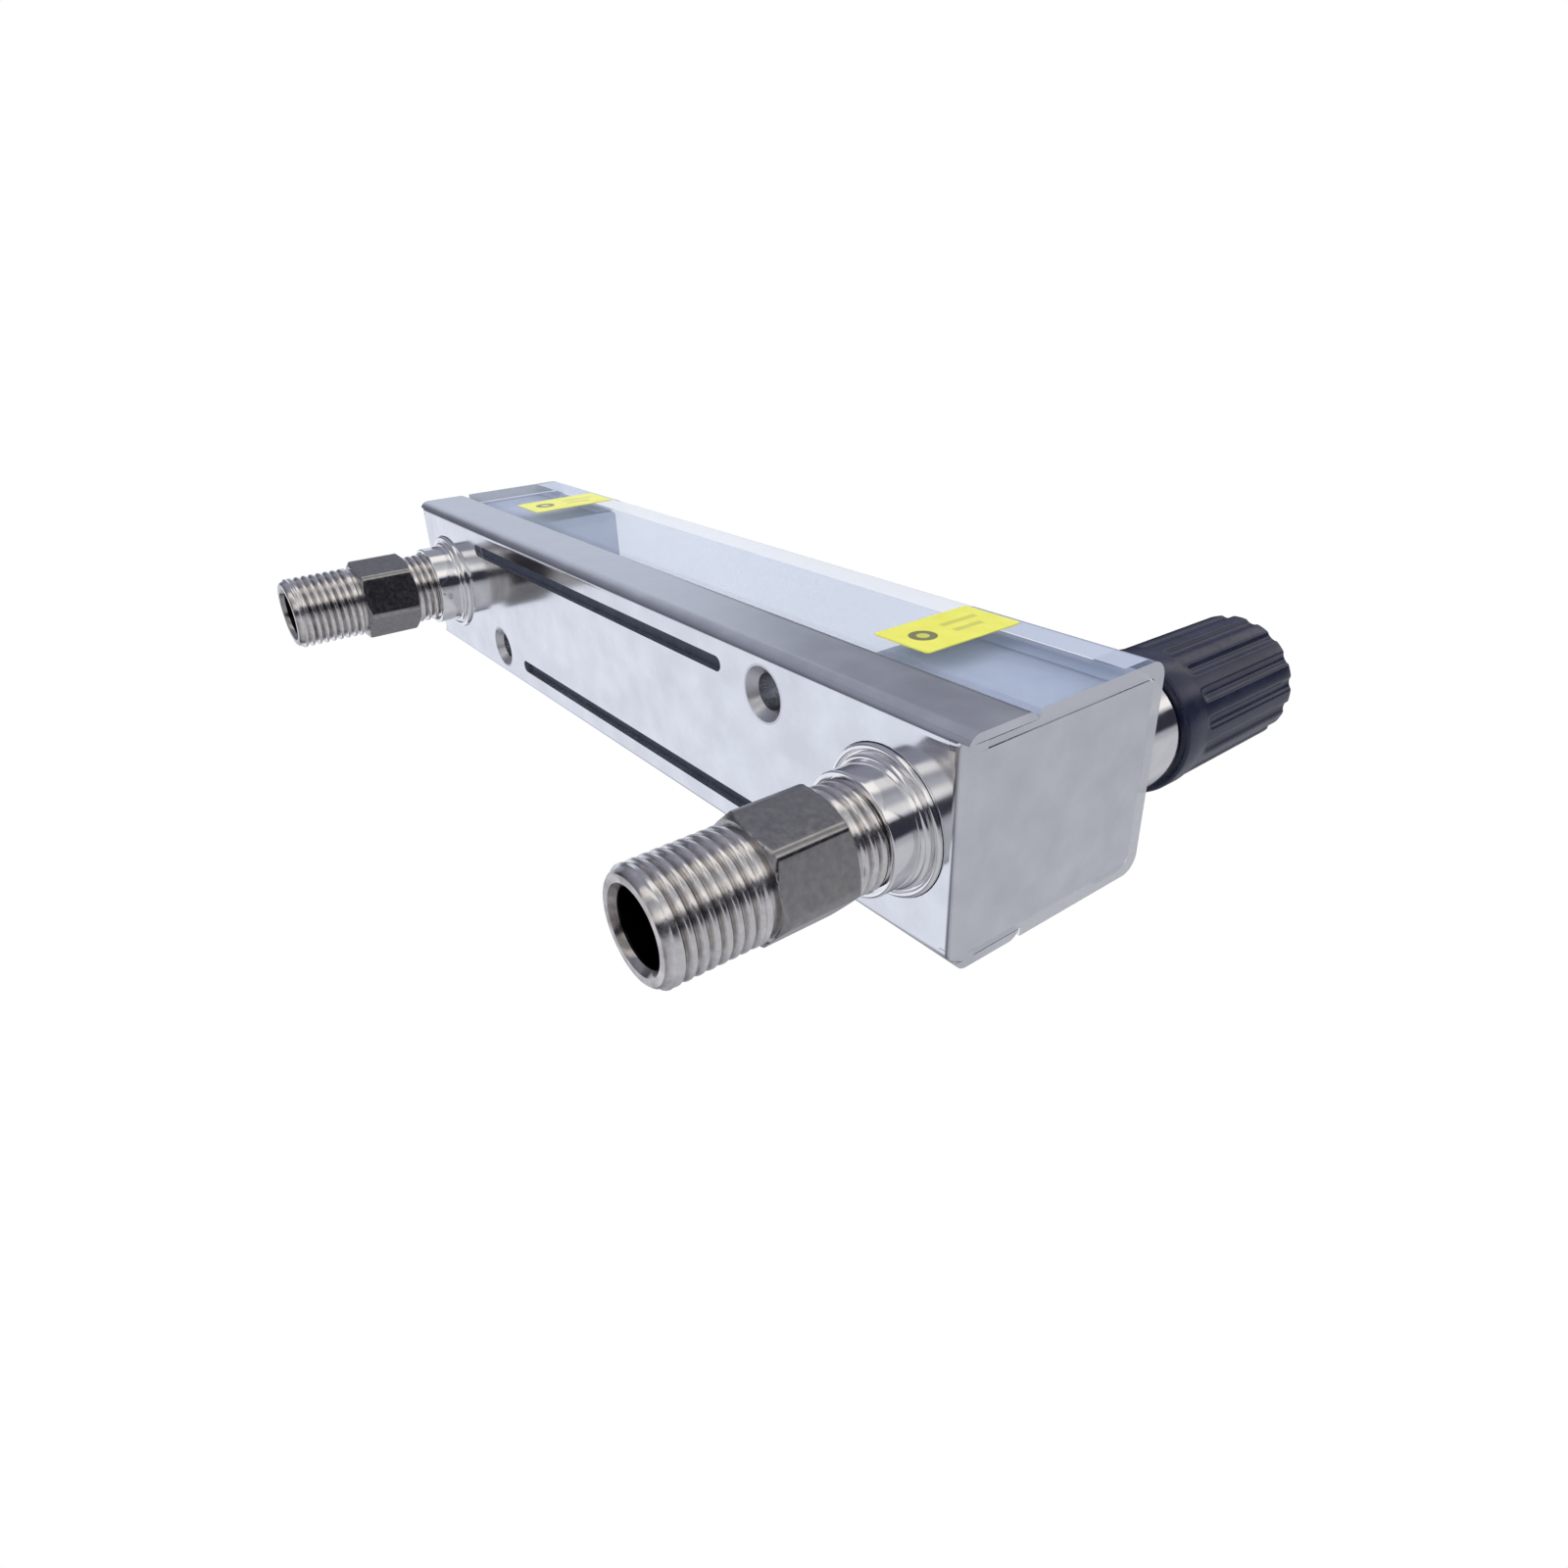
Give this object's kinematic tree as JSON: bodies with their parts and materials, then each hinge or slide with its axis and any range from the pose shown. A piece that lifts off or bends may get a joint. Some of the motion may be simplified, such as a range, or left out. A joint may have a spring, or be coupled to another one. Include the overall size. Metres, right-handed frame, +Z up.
{
  "type": "rotameter",
  "caption": "Short panel rotameter: folded steel back frame, clear cover, tapered glass tube with a float, fluted needle valve knob at the foot and rear pipe nipples.",
  "frame": {"origin": "middle of the tube axis on the lower end plate's outer face", "axes": "+Z up along the metering tube, +Y out of the back plate along the nipples, -Y out of the valve knob"},
  "size_m": [0.0292, 0.1003, 0.156],
  "materials": {
    "frame_steel": "satin cold-rolled stainless sheet",
    "clear_acrylic": "clear, polished",
    "block_metal": "fine milled",
    "tube_glass": "clear, polished",
    "seal_rubber": "matte",
    "knob_plastic": "moulded, glossy",
    "nipple_steel": "turned stainless",
    "polished_steel": "polished",
    "label_film": "satin film",
    "float_steel": "fine turned",
    "screw_steel": "turned",
    "turned_steel": "turned"
  },
  "bodies": {
    "root": {"back_frame": "frame_steel", "clear_cover": "clear_acrylic", "cover_seal": "seal_rubber", "glass_tube": "tube_glass", "inlet_block": "block_metal", "inlet_nipple": "nipple_steel", "inlet_seal": "seal_rubber", "inlet_socket": "polished_steel", "inlet_washer": "polished_steel", "lower_float_stop": "turned_steel", "lower_label": "label_film", "lower_tube_gland": "turned_steel", "lower_tube_seal": "seal_rubber", "mount_nut_lower": "screw_steel", "mount_nut_upper": "screw_steel", "needle_guide": "turned_steel", "outlet_block": "block_metal", "outlet_nipple": "nipple_steel", "outlet_seal": "seal_rubber", "outlet_socket": "polished_steel", "outlet_washer": "polished_steel", "spindle_seal": "seal_rubber", "top_plug": "turned_steel", "top_plug_seal": "seal_rubber", "upper_float_stop": "turned_steel", "upper_label": "label_film", "upper_tube_gland": "turned_steel", "upper_tube_seal": "seal_rubber", "valve_bonnet": "turned_steel", "valve_collar": "polished_steel", "valve_seat": "turned_steel"},
    "float": {"flow_float": "float_steel"},
    "knob": {"control_knob": "knob_plastic", "knob_screw": "screw_steel", "valve_spindle": "turned_steel"},
    "needle": {"valve_needle": "turned_steel"}
  },
  "joints": [
    {"name": "float_rise", "type": "slide", "parent": "root", "child": "float", "axis": [0, 0, 1], "range_m": [0, 0.092]},
    {"name": "knob_turn", "type": "hinge", "parent": "root", "child": "knob", "pos_m": [0, -0.03, 0.01], "axis": [0, -1, 0], "range_deg": [0, 1800]},
    {"name": "needle_lift", "type": "slide", "parent": "knob", "child": "needle", "axis": [0, -1, 0], "range_m": [0, 0.0025]}
  ],
  "couplings": [
    {"joint": "needle_lift", "follows": "knob_turn", "m_per_rad": 0.000079577}
  ]
}
